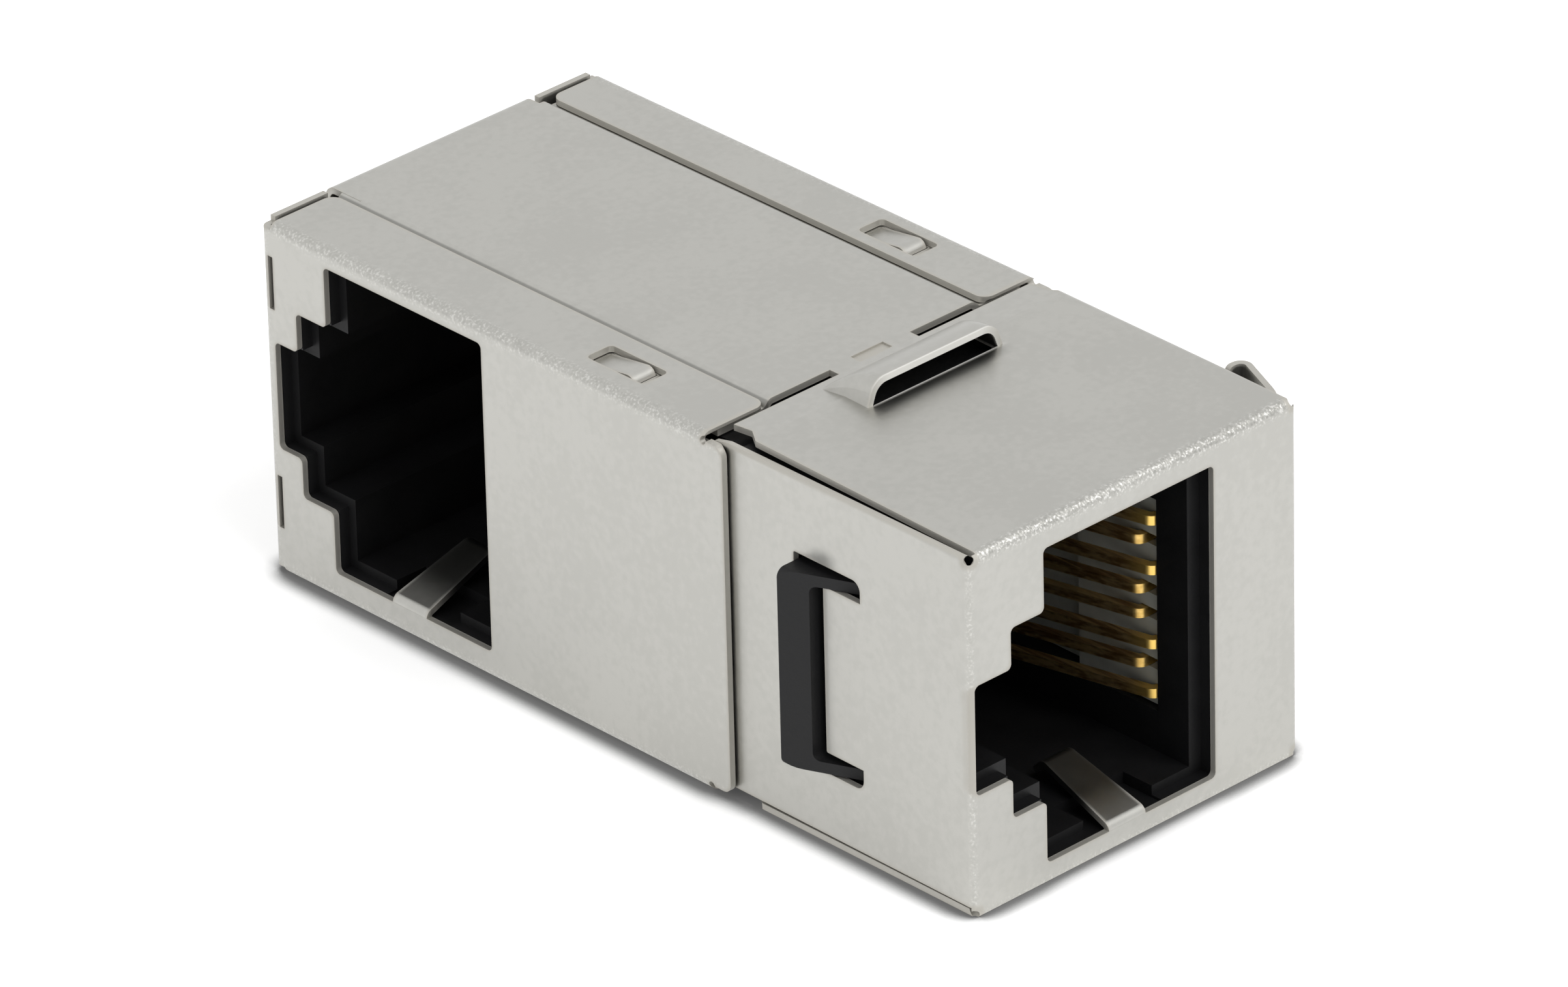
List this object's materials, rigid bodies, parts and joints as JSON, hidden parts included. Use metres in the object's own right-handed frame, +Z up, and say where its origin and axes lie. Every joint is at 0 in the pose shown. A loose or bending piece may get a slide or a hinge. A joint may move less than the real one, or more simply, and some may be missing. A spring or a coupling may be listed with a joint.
{
  "type": "rj45 inline coupler",
  "caption": "Shielded inline coupler for eight-way network plugs, with one port in the front face and one in the left side, in two folded metal sheets.",
  "frame": {"origin": "middle of the underside, where it lies on a flat surface", "axes": "+Y back from the front port's face along the body, +Z up from the underside, +X towards the latch spring; the side port opens towards -X"},
  "size_m": [0.0204, 0.0372, 0.0159],
  "materials": {
    "shield_sheet": "satin nickel plate",
    "housing_plastic": "moulded",
    "block_plastic": "moulded",
    "board_laminate": "solder mask",
    "contact_gold": "gold plate"
  },
  "bodies": {
    "root": {"front_shield": "shield_sheet", "rear_shield": "shield_sheet", "front_housing": "housing_plastic", "side_housing": "housing_plastic", "front_contact_block": "block_plastic", "side_contact_block": "block_plastic", "circuit_board": "board_laminate", "front_contact_1": "contact_gold", "front_contact_2": "contact_gold", "front_contact_3": "contact_gold", "front_contact_4": "contact_gold", "front_contact_5": "contact_gold", "front_contact_6": "contact_gold", "front_contact_7": "contact_gold", "front_contact_8": "contact_gold", "side_contact_1": "contact_gold", "side_contact_2": "contact_gold", "side_contact_3": "contact_gold", "side_contact_4": "contact_gold", "side_contact_5": "contact_gold", "side_contact_6": "contact_gold", "side_contact_7": "contact_gold", "side_contact_8": "contact_gold"}
  },
  "joints": []
}
